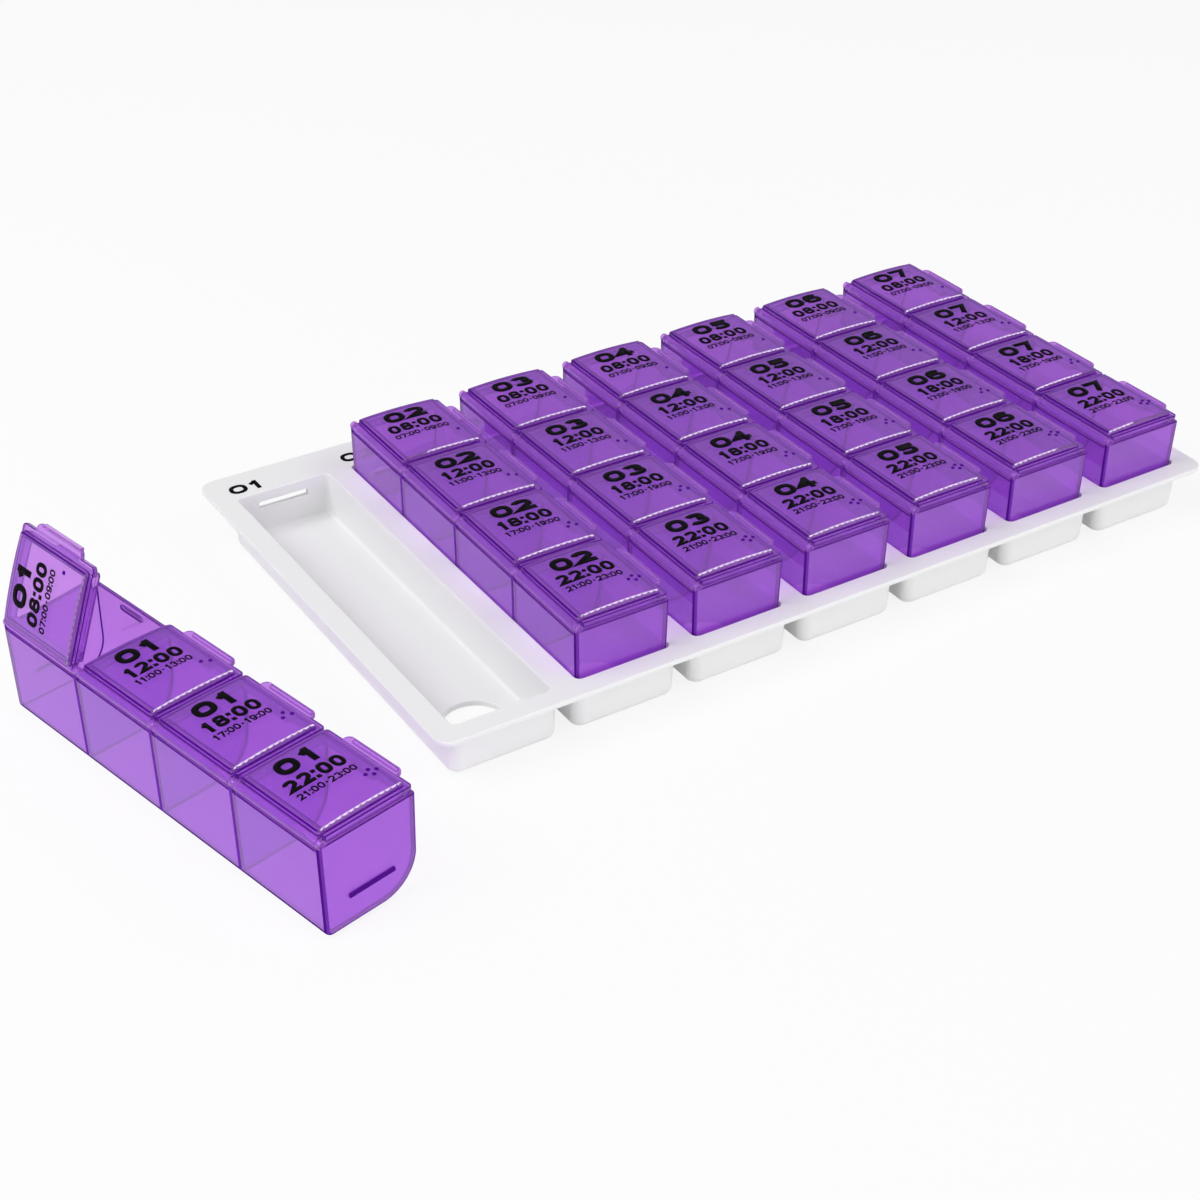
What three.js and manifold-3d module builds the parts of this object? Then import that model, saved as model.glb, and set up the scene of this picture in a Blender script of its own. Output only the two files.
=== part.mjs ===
// A weekly pill organizer: a white tray with seven pockets, and seven see-through boxes.
// Each box has four compartments, and each compartment a hinged lid that snaps shut.
// Six boxes stand in their pockets, and the first is lifted out and stands beside the tray,
// with its morning lid open.
//
// Millimetres, +Z up. The origin is the centre of the middle pocket's underside, on which
// the tray stands. +X runs from the first day to the last, +Y from the bedtime lids at the
// front to the morning lids at the back.

import * as THREE from 'three';
import { mergeVertices } from 'three/addons/utils/BufferGeometryUtils.js';
import Module from 'manifold-3d';

const wasm = await Module();
wasm.setup();

// The days run along the tray, the times from the front of a box to its back

const dayNames = ['sunday', 'monday', 'tuesday', 'wednesday', 'thursday', 'friday', 'saturday'];
const timeNames = ['bedtime', 'evening', 'noon', 'morning'];

// Box: an open trough with a scooped corner, so that pills slide out over the thumb

const boxLength = 113;
const boxTopWidth = 26;
const boxHeight = 24.3;
const boxSideWall = 1.1;
const boxFloorWall = 1.2;
const boxEndWall = 1.1;
const partitionWall = 1.2;
const scoopRadius = 9.5;
const cornerRadius = 2;
const draftDegrees = 1;

// Snap bar on each end of a box

const snapBarLength = 12.4;
const snapBarHeight = 8;
const snapBarRootThickness = 1.5;
const snapBarTipThickness = 0.7;
const snapBarReach = 0.6;

// Catch slit in a box's right wall, one for each lid

const catchSlitLength = 8;
const catchSlitThickness = 1.1;
const catchSlitDepth = 2.2;

// Hinge along a box's left wall: the lid's barrel turns between two bored ears of the box

const hingeRadius = 1.1;
const hingePinRadius = 0.45;
const hingePinTipGap = 0.3;
const runningGap = 0.3;

// Lid: a flange that closes the box, a crowned plateau for the print, and a skirt inside

const lidGap = 0.5;
const lidSeatGap = 0.3;
const flangeThickness = 1.2;
const flangeCornerRadius = 1;
const plateauSideInset = 1.7;
const plateauEndInset = 1.4;
const plateauRise = 1.2;
const plateauCrown = 0.45;
const plateauEdgeRadius = 0.6;
const lidTopWall = 1.1;
const skirtDepth = 1.6;
const skirtWall = 0.9;
const skirtEndGap = 0.35;
const skirtSideGap = 0.7;

// Finger tab at the lid's free edge, and the catch tongue behind it

const tabLength = 17.5;
const tabReach = 2;
const tabThickness = 0.9;
const tabCornerRadius = 1.8;
const tabLipDrop = 1;
const tabLipThickness = 0.8;
const catchTongueLength = 7;
const catchTongueTail = 0.7;
const catchBeadReach = 0.35;
const catchBeadHalfThickness = 0.4;

// Tray: seven bins that hang from one thin rim

const pocketPitch = 33;
const pocketSideGap = 0.3;
const pocketEndGap = 1;
const pocketFloorGap = 0.3;
const pocketFillet = 0.7;
const pocketCornerRadius = 1.6;
const trayHeight = 13.8;
const trayFloor = 1.6;
const binWall = 1.4;
const binBottomRadius = 2;
const rimThickness = 1.3;
const rimSideMargin = 6.1;
const rimFrontMargin = 5.7;
const rimBackMargin = 12.1;
const rimCornerRadius = 8;

// Slot for a snap bar in each end wall of a pocket, and the finger hole in its floor

const snapSlotLength = 14;
const snapSlotThickness = 1.8;
const fingerHoleRadius = 7.75;
const fingerHoleSetback = 13.2;

// The box that is lifted out: its front left corner from its pocket's, and its turn

const liftedBoxLeft = 48.9;
const liftedBoxForward = 34.1;
const liftedBoxTurnDegrees = 13.35;
const openLidDegrees = 69;

// One length by which every cutting shape runs past what it cuts

const overrun = 1;

// Steps in the curves

const scoopSteps = 4;
const cornerSteps = 2;
const lidCornerSteps = 1;
const hingeSides = 8;
const pinSides = 6;
const crownSteps = 3;
const rimCornerSteps = 6;
const fingerHoleSides = 20;

// Sizes that follow from the ones above

const draftSlope = Math.tan(THREE.MathUtils.degToRad(draftDegrees));
const compartmentPitch = (boxLength - 2 * boxEndWall + partitionWall) / timeNames.length;
const compartmentLength = compartmentPitch - partitionWall;
const boxLeft = -boxTopWidth / 2;
const boxRight = boxTopWidth / 2;
const boxBottomWidth = boxTopWidth - 2 * draftSlope * boxHeight;
const hingeX = boxLeft + hingeRadius;
const flangeTop = hingeRadius;
const flangeBottom = flangeTop - flangeThickness;
const hingeZ = boxHeight + lidSeatGap - flangeBottom;
const lidReach = boxRight - hingeX;
const pocketBase = trayFloor + pocketFloorGap;
const pocketDepthInBox = trayHeight - pocketBase;
const pocketTopWidth = boxBottomWidth + 2 * (draftSlope * pocketDepthInBox + pocketSideGap);
const pocketTopLength = boxLength + 2 * pocketEndGap;
const trayWidth = pocketPitch * (dayNames.length - 1) + pocketTopWidth + 2 * rimSideMargin;

// Outline helpers

function arc(centreX, centreY, radius, startDegrees, endDegrees, steps) {
  const points = [];
  for (let i = 0; i <= steps; i++) {
    const turn = THREE.MathUtils.degToRad(startDegrees + (endDegrees - startDegrees) * i / steps);
    points.push(new THREE.Vector2(centreX + radius * Math.cos(turn), centreY + radius * Math.sin(turn)));
  }
  return points;
}

function roundedRectangle(left, right, front, back, radius, steps) {
  return [
    ...arc(left + radius, front + radius, radius, 180, 270, steps),
    ...arc(right - radius, front + radius, radius, 270, 360, steps),
    ...arc(right - radius, back - radius, radius, 0, 90, steps),
    ...arc(left + radius, back - radius, radius, 90, 180, steps),
  ];
}

// Solid helpers: every solid starts as a three.js geometry

function toSolid(geometry) {
  geometry.deleteAttribute('normal');
  geometry.deleteAttribute('uv');
  const merged = mergeVertices(geometry);
  return new wasm.Manifold(new wasm.Mesh({
    numProp: 3,
    vertProperties: new Float32Array(merged.attributes.position.array),
    triVerts: new Uint32Array(merged.index.array),
  }));
}

function toGeometry(solid) {
  const { vertProperties, triVerts } = solid.getMesh();
  const geometry = new THREE.BufferGeometry();
  geometry.setAttribute('position', new THREE.BufferAttribute(vertProperties, 3));
  geometry.setIndex(new THREE.BufferAttribute(triVerts, 1));
  geometry.computeVertexNormals();
  return geometry;
}

function extrusion(points, length, rounding = 0) {
  return new THREE.ExtrudeGeometry(new THREE.Shape(points), {
    depth: length - 2 * rounding,
    steps: 1,
    bevelEnabled: rounding > 0,
    bevelThickness: rounding,
    bevelSize: rounding,
    bevelOffset: -rounding,
    bevelSegments: 1,
  }).translate(0, 0, rounding);
}

function alongX(points, from, to) {
  const geometry = extrusion(points, to - from);
  return toSolid(geometry.rotateX(Math.PI / 2).rotateZ(Math.PI / 2).translate(from, 0, 0));
}

function alongY(points, from, to, rounding = 0) {
  const geometry = extrusion(points, to - from, rounding);
  return toSolid(geometry.rotateX(Math.PI / 2).translate(0, to, 0));
}

function alongZ(points, from, to) {
  return toSolid(extrusion(points, to - from).translate(0, 0, from));
}

function block(left, right, front, back, bottom, top) {
  const geometry = new THREE.BoxGeometry(right - left, back - front, top - bottom);
  return toSolid(geometry.translate((left + right) / 2, (front + back) / 2, (bottom + top) / 2));
}

function rodAlongY(x, z, radius, front, back, sides) {
  const geometry = new THREE.CylinderGeometry(radius, radius, back - front, sides);
  return toSolid(geometry.translate(x, (front + back) / 2, z));
}

// A tub with rounded upright and bottom edges, whose walls lean in towards its floor.
// Its width and length are those at the given level.

function tub(width, length, radius, bottomRadius, floor, level, top) {
  const outline = roundedRectangle(-width / 2, width / 2, -length / 2, length / 2, radius, cornerSteps);
  const geometry = extrusion(outline, top - floor + bottomRadius, bottomRadius);
  geometry.translate(0, 0, floor);
  const position = geometry.attributes.position;
  for (let i = 0; i < position.count; i++) {
    const lean = draftSlope * (level - position.getZ(i));
    position.setX(i, position.getX(i) - Math.sign(position.getX(i)) * lean);
    position.setY(i, position.getY(i) - Math.sign(position.getY(i)) * lean);
  }
  return toSolid(geometry);
}

// Box

function compartmentY(i) {
  return (i - (timeNames.length - 1) / 2) * compartmentPitch;
}

function boxProfile(inset, floor, top) {
  const bottomHalf = boxBottomWidth / 2 - inset;
  const topHalf = bottomHalf + draftSlope * top;
  const corner = Math.max(cornerRadius - inset, boxSideWall / 2);
  const scoop = scoopRadius - inset;
  return [
    new THREE.Vector2(-topHalf, top),
    ...arc(-bottomHalf + corner, floor + corner, corner, 180, 270, cornerSteps),
    ...arc(bottomHalf - scoop, floor + scoop, scoop, 270, 360, scoopSteps),
    new THREE.Vector2(topHalf, top),
  ];
}

function makeBox() {
  const front = -boxLength / 2;
  const back = boxLength / 2;
  let box = alongY(boxProfile(0, 0, boxHeight), front, back);
  const cavity = boxProfile(boxSideWall, boxFloorWall, boxHeight + overrun);
  const notchFloor = hingeZ - hingeRadius - runningGap;
  const slitZ = boxHeight - catchSlitDepth;

  for (let i = 0; i < timeNames.length; i++) {
    const start = compartmentY(i) - compartmentLength / 2;
    const end = compartmentY(i) + compartmentLength / 2;
    box = box.subtract(alongY(cavity, start, end));
    box = box.subtract(block(boxLeft - overrun, hingeX + hingeRadius,
      start, end, notchFloor, boxHeight + overrun));
    box = box.subtract(block(boxRight - boxSideWall - overrun, boxRight + overrun,
      compartmentY(i) - catchSlitLength / 2, compartmentY(i) + catchSlitLength / 2,
      slitZ - catchSlitThickness / 2, slitZ + catchSlitThickness / 2));
  }

  for (let i = 0; i <= timeNames.length; i++) {
    const earFront = i === 0 ? front : compartmentY(i - 1) + compartmentLength / 2;
    const earBack = i === timeNames.length ? back : compartmentY(i) - compartmentLength / 2;
    box = box.add(rodAlongY(hingeX, hingeZ, hingeRadius, earFront, earBack, hingeSides));
  }
  box = box.subtract(rodAlongY(hingeX, hingeZ, hingePinRadius + runningGap,
    front - overrun, back + overrun, pinSides));

  for (const end of [-1, 1]) {
    const face = end * back;
    const rootHalf = snapBarRootThickness / 2;
    const tipHalf = snapBarTipThickness / 2;
    const profile = [
      new THREE.Vector2(face - end * boxEndWall / 2, snapBarHeight - rootHalf),
      new THREE.Vector2(face, snapBarHeight - rootHalf),
      new THREE.Vector2(face + end * snapBarReach, snapBarHeight - tipHalf),
      new THREE.Vector2(face + end * snapBarReach, snapBarHeight + tipHalf),
      new THREE.Vector2(face, snapBarHeight + rootHalf),
      new THREE.Vector2(face - end * boxEndWall / 2, snapBarHeight + rootHalf),
    ];
    box = box.add(alongX(profile, -snapBarLength / 2, snapBarLength / 2));
  }
  return box;
}

// Lid, closed, with its origin on the hinge axis at the middle of its length

function plateauProfile() {
  const left = plateauSideInset - hingeRadius;
  const right = lidReach - plateauSideInset;
  const bottom = (flangeBottom + flangeTop) / 2;
  const shoulder = flangeTop + plateauRise - plateauEdgeRadius;
  const halfChord = (right - left) / 2 - plateauEdgeRadius;
  const crownRadius = (halfChord ** 2 + plateauCrown ** 2) / (2 * plateauCrown);
  const crownTurn = THREE.MathUtils.radToDeg(Math.asin(halfChord / crownRadius));
  const crownCentre = flangeTop + plateauRise + plateauCrown - crownRadius;
  return [
    new THREE.Vector2(left, bottom),
    new THREE.Vector2(right, bottom),
    ...arc(right - plateauEdgeRadius, shoulder, plateauEdgeRadius, 0, 90, lidCornerSteps).slice(0, -1),
    ...arc((left + right) / 2, crownCentre, crownRadius, 90 - crownTurn, 90 + crownTurn, crownSteps),
    ...arc(left + plateauEdgeRadius, shoulder, plateauEdgeRadius, 90, 180, lidCornerSteps).slice(1),
  ];
}

function makeLid() {
  const half = compartmentPitch / 2 - lidGap / 2;
  const barrelHalf = compartmentLength / 2 - runningGap;
  const earClearance = hingeRadius + runningGap;
  const flange = [
    new THREE.Vector2(0, -barrelHalf),
    new THREE.Vector2(earClearance, -barrelHalf),
    new THREE.Vector2(earClearance, -half),
    ...arc(lidReach - flangeCornerRadius, -half + flangeCornerRadius, flangeCornerRadius,
      270, 360, lidCornerSteps),
    ...arc(lidReach - flangeCornerRadius, half - flangeCornerRadius, flangeCornerRadius,
      0, 90, lidCornerSteps),
    new THREE.Vector2(earClearance, half),
    new THREE.Vector2(earClearance, barrelHalf),
    new THREE.Vector2(0, barrelHalf),
  ];
  let lid = alongZ(flange, flangeBottom, flangeTop);

  const plateauHalf = compartmentPitch / 2 - plateauEndInset;
  lid = lid.add(alongY(plateauProfile(), -plateauHalf, plateauHalf, plateauEdgeRadius));

  const skirtRight = lidReach - boxSideWall - skirtSideGap;
  const skirtHalf = compartmentLength / 2 - skirtEndGap;
  const skirtBottom = flangeBottom - skirtDepth;
  lid = lid.add(block(earClearance, skirtRight, -skirtHalf, skirtHalf,
    skirtBottom, (flangeBottom + flangeTop) / 2));
  lid = lid.subtract(block(earClearance + skirtWall, skirtRight - skirtWall,
    -skirtHalf + skirtWall, skirtHalf - skirtWall,
    skirtBottom - overrun, flangeTop + plateauRise - lidTopWall));

  const pinHalf = compartmentPitch / 2 - hingePinTipGap / 2;
  lid = lid.add(rodAlongY(0, 0, hingeRadius, -barrelHalf, barrelHalf, hingeSides));
  lid = lid.add(rodAlongY(0, 0, hingePinRadius, -pinHalf, pinHalf, pinSides));

  const tab = roundedRectangle(lidReach - 2 * tabCornerRadius, lidReach + tabReach,
    -tabLength / 2, tabLength / 2, tabCornerRadius, lidCornerSteps);
  lid = lid.add(alongZ(tab, flangeTop - tabThickness, flangeTop));
  lid = lid.add(block(lidReach + tabReach - tabLipThickness, lidReach + tabReach,
    -tabLength / 2 + tabCornerRadius, tabLength / 2 - tabCornerRadius,
    flangeTop - tabThickness - tabLipDrop, flangeTop - tabThickness / 2));

  const tongueHalf = catchTongueLength / 2;
  const beadZ = flangeBottom - lidSeatGap - catchSlitDepth;
  lid = lid.add(block(skirtRight - skirtWall, skirtRight, -tongueHalf, tongueHalf,
    beadZ - catchTongueTail, flangeBottom));
  const bead = [
    new THREE.Vector2(skirtRight - skirtWall / 2, beadZ - catchBeadHalfThickness),
    new THREE.Vector2(skirtRight, beadZ - catchBeadHalfThickness),
    new THREE.Vector2(skirtRight + catchBeadReach, beadZ),
    new THREE.Vector2(skirtRight, beadZ + catchBeadHalfThickness),
    new THREE.Vector2(skirtRight - skirtWall / 2, beadZ + catchBeadHalfThickness),
  ];
  return lid.add(alongY(bead, -tongueHalf, tongueHalf));
}

// Tray

function makeTray() {
  const half = trayWidth / 2;
  const pocketBack = pocketTopLength / 2;
  const rim = roundedRectangle(-half, half, -pocketBack - rimFrontMargin, pocketBack + rimBackMargin,
    rimCornerRadius, rimCornerSteps);
  let tray = alongZ(rim, trayHeight - rimThickness, trayHeight);

  const binWidth = pocketTopWidth + 2 * binWall;
  const binLength = pocketTopLength + 2 * binWall;
  const bin = tub(binWidth, binLength, pocketCornerRadius + binWall, binBottomRadius,
    0, trayHeight, trayHeight);
  const pocket = tub(pocketTopWidth, pocketTopLength, pocketCornerRadius, pocketFillet,
    trayFloor, trayHeight, trayHeight + overrun);
  const above = block(-half - overrun, half + overrun, -binLength, binLength,
    trayHeight, trayHeight + binBottomRadius + overrun);
  const slotZ = pocketBase + snapBarHeight;
  const slot = block(-snapSlotLength / 2, snapSlotLength / 2, -binLength, binLength,
    slotZ - snapSlotThickness / 2, slotZ + snapSlotThickness / 2);
  const fingerHole = toSolid(new THREE.CylinderGeometry(fingerHoleRadius, fingerHoleRadius,
    trayFloor + 2 * overrun, fingerHoleSides).rotateX(Math.PI / 2)
    .translate(0, -pocketBack + fingerHoleSetback, trayFloor / 2));

  for (let day = 0; day < dayNames.length; day++) {
    tray = tray.add(bin.translate(pocketX(day), 0, 0));
  }
  tray = tray.subtract(above);
  for (let day = 0; day < dayNames.length; day++) {
    for (const cut of [pocket, slot, fingerHole]) {
      tray = tray.subtract(cut.translate(pocketX(day), 0, 0));
    }
  }
  return tray;
}

function pocketX(day) {
  return (day - (dayNames.length - 1) / 2) * pocketPitch;
}

// Materials

const trayPlastic = new THREE.MeshStandardMaterial({ color: 0xf4f2f6, roughness: 0.45, metalness: 0 });
const boxPlastic = new THREE.MeshStandardMaterial({
  color: 0x8a45cc, roughness: 0.12, metalness: 0, transparent: true, opacity: 0.6,
});
const lidPlastic = new THREE.MeshStandardMaterial({
  color: 0x7d3ac2, roughness: 0.1, metalness: 0, transparent: true, opacity: 0.7,
});

// Assembly

const organizer = new THREE.Group();
const boxGeometry = toGeometry(makeBox());
const lidGeometry = toGeometry(makeLid());

const tray = new THREE.Mesh(toGeometry(makeTray()), trayPlastic);
tray.name = 'tray';
organizer.add(tray);

for (let day = 0; day < dayNames.length; day++) {
  const dayGroup = new THREE.Group();
  dayGroup.position.set(pocketX(day), 0, pocketBase);
  if (day === 0) {
    const turn = THREE.MathUtils.degToRad(liftedBoxTurnDegrees);
    const centre = new THREE.Vector2(boxBottomWidth / 2, boxLength / 2).rotateAround(new THREE.Vector2(), turn);
    const cornerX = pocketX(day) - pocketTopWidth / 2 - liftedBoxLeft;
    const cornerY = -pocketTopLength / 2 - liftedBoxForward;
    dayGroup.position.set(cornerX + centre.x, cornerY + centre.y, 0);
    dayGroup.rotation.z = turn;
  }

  const box = new THREE.Mesh(boxGeometry, boxPlastic);
  box.name = `${dayNames[day]}_box`;
  dayGroup.add(box);

  for (let i = 0; i < timeNames.length; i++) {
    const hinge = new THREE.Group();
    hinge.position.set(hingeX, compartmentY(i), hingeZ);
    if (day === 0 && timeNames[i] === 'morning') {
      hinge.rotation.y = -THREE.MathUtils.degToRad(openLidDegrees);
    }
    const lid = new THREE.Mesh(lidGeometry, lidPlastic);
    lid.name = `${dayNames[day]}_${timeNames[i]}_lid`;
    hinge.add(lid);
    dayGroup.add(hinge);
  }
  organizer.add(dayGroup);
}

export default organizer;
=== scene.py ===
# %% [markdown]
# # A weekly pill organizer
#
# The real object is a white tray with seven deep pockets, and seven boxes of clear purple
# plastic. Each box has four compartments, each with a hinged lid. Six boxes stand in their
# pockets, and the first stands beside the tray, with its last lid open.
#
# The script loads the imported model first, which gives the bodies that move. Then it makes one
# fine lid, one fine box and the tray, and copies the lid and the box to their places. Every
# lid could be made on its own, but real ones come from one mould, so one lid is enough.

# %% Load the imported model
import math

import bmesh
import bpy
from mathutils import Matrix, Vector


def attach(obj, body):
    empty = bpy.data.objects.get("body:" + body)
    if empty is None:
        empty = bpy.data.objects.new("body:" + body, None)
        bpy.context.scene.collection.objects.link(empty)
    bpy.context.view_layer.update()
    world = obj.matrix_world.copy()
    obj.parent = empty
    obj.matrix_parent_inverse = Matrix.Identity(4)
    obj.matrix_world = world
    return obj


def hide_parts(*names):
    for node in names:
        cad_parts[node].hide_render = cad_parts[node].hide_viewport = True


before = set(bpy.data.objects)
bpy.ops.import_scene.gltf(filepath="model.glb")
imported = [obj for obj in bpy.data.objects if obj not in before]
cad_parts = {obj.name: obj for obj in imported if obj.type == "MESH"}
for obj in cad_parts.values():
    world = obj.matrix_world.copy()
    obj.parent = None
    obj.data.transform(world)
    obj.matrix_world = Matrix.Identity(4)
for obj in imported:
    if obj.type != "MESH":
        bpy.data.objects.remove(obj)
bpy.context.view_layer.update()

# %% [markdown]
# ## The sizes
#
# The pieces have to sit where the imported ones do, so the sizes are those of the part, in
# metres. The main ones are here, and the finer ones stand with their piece. The lists of days
# and times are in the order of the pockets and compartments.
#
# A HAIR is a length too small to be seen. It is the slack with which edges and faces are
# found, and the step between two faces that must not coincide.

# %% Sizes of the part
MM = 0.001
HAIR = 0.01 * MM
DAYS = ["sunday", "monday", "tuesday", "wednesday", "thursday", "friday", "saturday"]
TIMES = ["bedtime", "evening", "noon", "morning"]

BOX_LENGTH = 113 * MM
BOX_TOP_WIDTH = 26 * MM
BOX_HEIGHT = 24.3 * MM
BOX_WALL = 1.1 * MM
BOX_FLOOR = 1.2 * MM
PARTITION = 1.2 * MM
DRAFT = math.tan(math.radians(1))
BOX_BOTTOM_WIDTH = BOX_TOP_WIDTH - 2 * DRAFT * BOX_HEIGHT
PITCH = (BOX_LENGTH - 2 * BOX_WALL + PARTITION) / len(TIMES)
COMPARTMENT = PITCH - PARTITION

HINGE_RADIUS = 1.1 * MM
PIN_RADIUS = 0.45 * MM
GAP = 0.3 * MM
HINGE_X = -BOX_TOP_WIDTH / 2 + HINGE_RADIUS
HINGE_Z = 24.7 * MM
LID_REACH = BOX_TOP_WIDTH / 2 - HINGE_X
FLANGE_TOP = HINGE_RADIUS
FLANGE_BOTTOM = -0.1 * MM

POCKET_PITCH = 33 * MM
TRAY_HEIGHT = 13.8 * MM
TRAY_FLOOR = 1.6 * MM
POCKET_BASE = TRAY_FLOOR + GAP
POCKET_WIDTH = BOX_BOTTOM_WIDTH + 2 * (DRAFT * (TRAY_HEIGHT - POCKET_BASE) + GAP)
POCKET_LENGTH = BOX_LENGTH + 2 * MM


def pocket_x(day):
    return (day - (len(DAYS) - 1) / 2) * POCKET_PITCH


def compartment_y(time):
    return (time - (len(TIMES) - 1) / 2) * PITCH


print("pocket", round(POCKET_WIDTH / MM, 2), "compartment", round(COMPARTMENT / MM, 2), "mm")

# %% [markdown]
# ## Helpers for modelling
#
# Every piece starts as a block or a rod at its own size and place. Each has three material
# slots: one for its clear faces, one for the rounded edges, which carry a painted shade, and one
# for the places that carry a painted depth shade or a polish.

# %% Blocks and rods
CLEAR_SLOT, EDGE_SHADE_SLOT, DEPTH_SHADE_AND_POLISH_SLOT = 0, 1, 2
ALONG_Y = (math.pi / 2, 0, 0)
ALONG_Z = (0, 0, 0)


def deselect():
    bpy.ops.object.select_all(action="DESELECT")


def make_active(piece):
    deselect()
    piece.select_set(True)
    bpy.context.view_layer.objects.active = piece


def started(name):
    piece = bpy.context.object
    piece.name = name
    bpy.ops.object.transform_apply(location=True, rotation=True, scale=True)
    for slot in (CLEAR_SLOT, EDGE_SHADE_SLOT, DEPTH_SHADE_AND_POLISH_SLOT):
        piece.data.materials.append(None)
    return piece


def block(name, low, high):
    low, high = Vector(low), Vector(high)
    deselect()
    bpy.ops.mesh.primitive_cube_add(size=1, location=(low + high) / 2, scale=high - low)
    return started(name)


def rod(name, centre, radius, length, sides, turn=ALONG_Y):
    deselect()
    bpy.ops.mesh.primitive_cylinder_add(
        vertices=sides, radius=radius, depth=length, location=centre, rotation=turn)
    return started(name)


print("slots", CLEAR_SLOT, EDGE_SHADE_SLOT, DEPTH_SHADE_AND_POLISH_SLOT)

# %% [markdown]
# By hand, edges and faces are picked with the mouse. In code they are picked by where they lie
# and which way they run or face: m is the middle, d the direction of an edge, and n the normal
# of a face. A picked face can also be given another of the three slots.


# %% Picking edges and faces
def along_y(direction):
    return abs(direction.y) > 0.99


def along_z(direction):
    return abs(direction.z) > 0.9


def upright(m, d):
    return along_z(d)


def at_rod_end(m, d):
    return abs(d.y) < 0.5


def start_picking(piece, kind):
    make_active(piece)
    bpy.ops.object.mode_set(mode="EDIT")
    bpy.ops.mesh.select_mode(type=kind)
    bpy.ops.mesh.select_all(action="DESELECT")
    return bmesh.from_edit_mesh(piece.data)


def pick_edges(piece, wanted):
    shape = start_picking(piece, "EDGE")
    for edge in shape.edges:
        a, b = edge.verts[0].co, edge.verts[1].co
        edge.select_set(wanted((a + b) / 2, (b - a).normalized()))
    shape.select_flush_mode()
    bmesh.update_edit_mesh(piece.data)


def pick_faces(piece, wanted):
    shape = start_picking(piece, "FACE")
    for face in shape.faces:
        face.select_set(wanted(face.calc_center_median(), face.normal))
    shape.select_flush_mode()
    bmesh.update_edit_mesh(piece.data)


def use_slot(piece, slot, wanted=lambda m, n: True):
    for face in piece.data.polygons:
        if wanted(face.center, face.normal):
            face.material_index = slot
    return piece


print("edges and faces can be picked")

# %% [markdown]
# The picked edges are rounded with the bevel tool. Blocks are added to each other or cut out
# of each other with the Boolean modifier, as a mould maker would mill the cavity and its
# cores. Extruding would do for straight walls, but not for rounded hollows that meet. A block
# that cuts reaches a millimetre or more past the faces that it opens, so no thin skin stays.


# %% Rounding, joining and cutting
def round_edges(piece, wanted, radius, segments, slot=-1):
    pick_edges(piece, wanted)
    bpy.ops.mesh.bevel(offset=radius, segments=segments, affect="EDGES", clamp_overlap=False,
                       material=slot)
    bpy.ops.object.mode_set(mode="OBJECT")


def shrink_faces(piece, wanted, factor, centre):
    pick_faces(piece, wanted)
    bpy.ops.transform.resize(value=factor, center_override=centre)
    bpy.ops.object.mode_set(mode="OBJECT")


def slice_faces(piece, wanted, place, normal):
    pick_faces(piece, wanted)
    bpy.ops.mesh.bisect(plane_co=place, plane_no=normal)
    bpy.ops.object.mode_set(mode="OBJECT")


def combine(piece, other, how):
    make_active(piece)
    step = piece.modifiers.new(how, "BOOLEAN")
    step.operation = how
    step.solver = "EXACT"
    step.object = other
    bpy.ops.object.modifier_apply(modifier=step.name)
    bpy.data.objects.remove(other)


def add(piece, other):
    combine(piece, other, "UNION")


def cut(piece, other):
    combine(piece, other, "DIFFERENCE")


print("pieces can be rounded, joined and cut")

# %% [markdown]
# No moulded edge is quite sharp, so the sharp edges that are left on a piece are softened all
# at once. At the end its faces are shaded smooth up to an angle, and the large flat ones keep
# an even shade.


# %% Soft edges and smooth shading
def soften(piece, radius, segments, angle=40):
    make_active(piece)
    step = piece.modifiers.new("soften", "BEVEL")
    step.width = radius
    step.segments = segments
    step.limit_method = "ANGLE"
    step.angle_limit = math.radians(angle)
    step.use_clamp_overlap = False
    step.miter_outer = "MITER_ARC"
    # The new bevel faces get the painted edge shade.
    step.material = EDGE_SHADE_SLOT
    bpy.ops.object.modifier_apply(modifier=step.name)


def finish_shading(piece, angle=35):
    make_active(piece)
    bpy.ops.object.shade_smooth_by_angle(angle=math.radians(angle))
    step = piece.modifiers.new("even", "WEIGHTED_NORMAL")
    step.keep_sharp = True
    bpy.ops.object.modifier_apply(modifier=step.name)


print("helpers ready")

# %% [markdown]
# ## The box
#
# A box is a trough with one wide round corner, so that a pill can be slid out over the thumb.
# The outside and the four hollows are the same rounded block at two sizes, so the wall keeps
# its thickness round the corner. The walls lean out by one degree, which lets the moulding
# leave its mould. A Solidify modifier could make such walls too, but not the partitions.
#
# Clear plastic looks dark where it is rounded. That dark is painted shade: the edges of the two
# ends and the lower left corner get the slot of the painted edge shade. Where an upright corner
# turns to the end, it is only deep purple, a painted depth shade in the slot of the thick places.

# %% The trough
SCOOP_RADIUS = 9.5 * MM
CORNER_RADIUS = 2 * MM
END_RADIUS = 0.8 * MM


def low_edge(side, floor):
    return lambda m, d: along_y(d) and m.z < floor + MM and m.x * side > 0


def trough_block(name, inset, floor, top, front, back):
    half_bottom = BOX_BOTTOM_WIDTH / 2 - inset
    half_top = half_bottom + DRAFT * top
    piece = block(name, (-half_top, front, floor), (half_top, back, top))
    shrink_faces(piece, lambda m, n: n.z < -0.5, (half_bottom / half_top, 1, 1), (0, 0, 0))
    round_edges(piece, low_edge(1, floor), SCOOP_RADIUS - inset, segments=20)
    round_edges(piece, low_edge(-1, floor), CORNER_RADIUS - inset, segments=6)
    return piece


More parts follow.
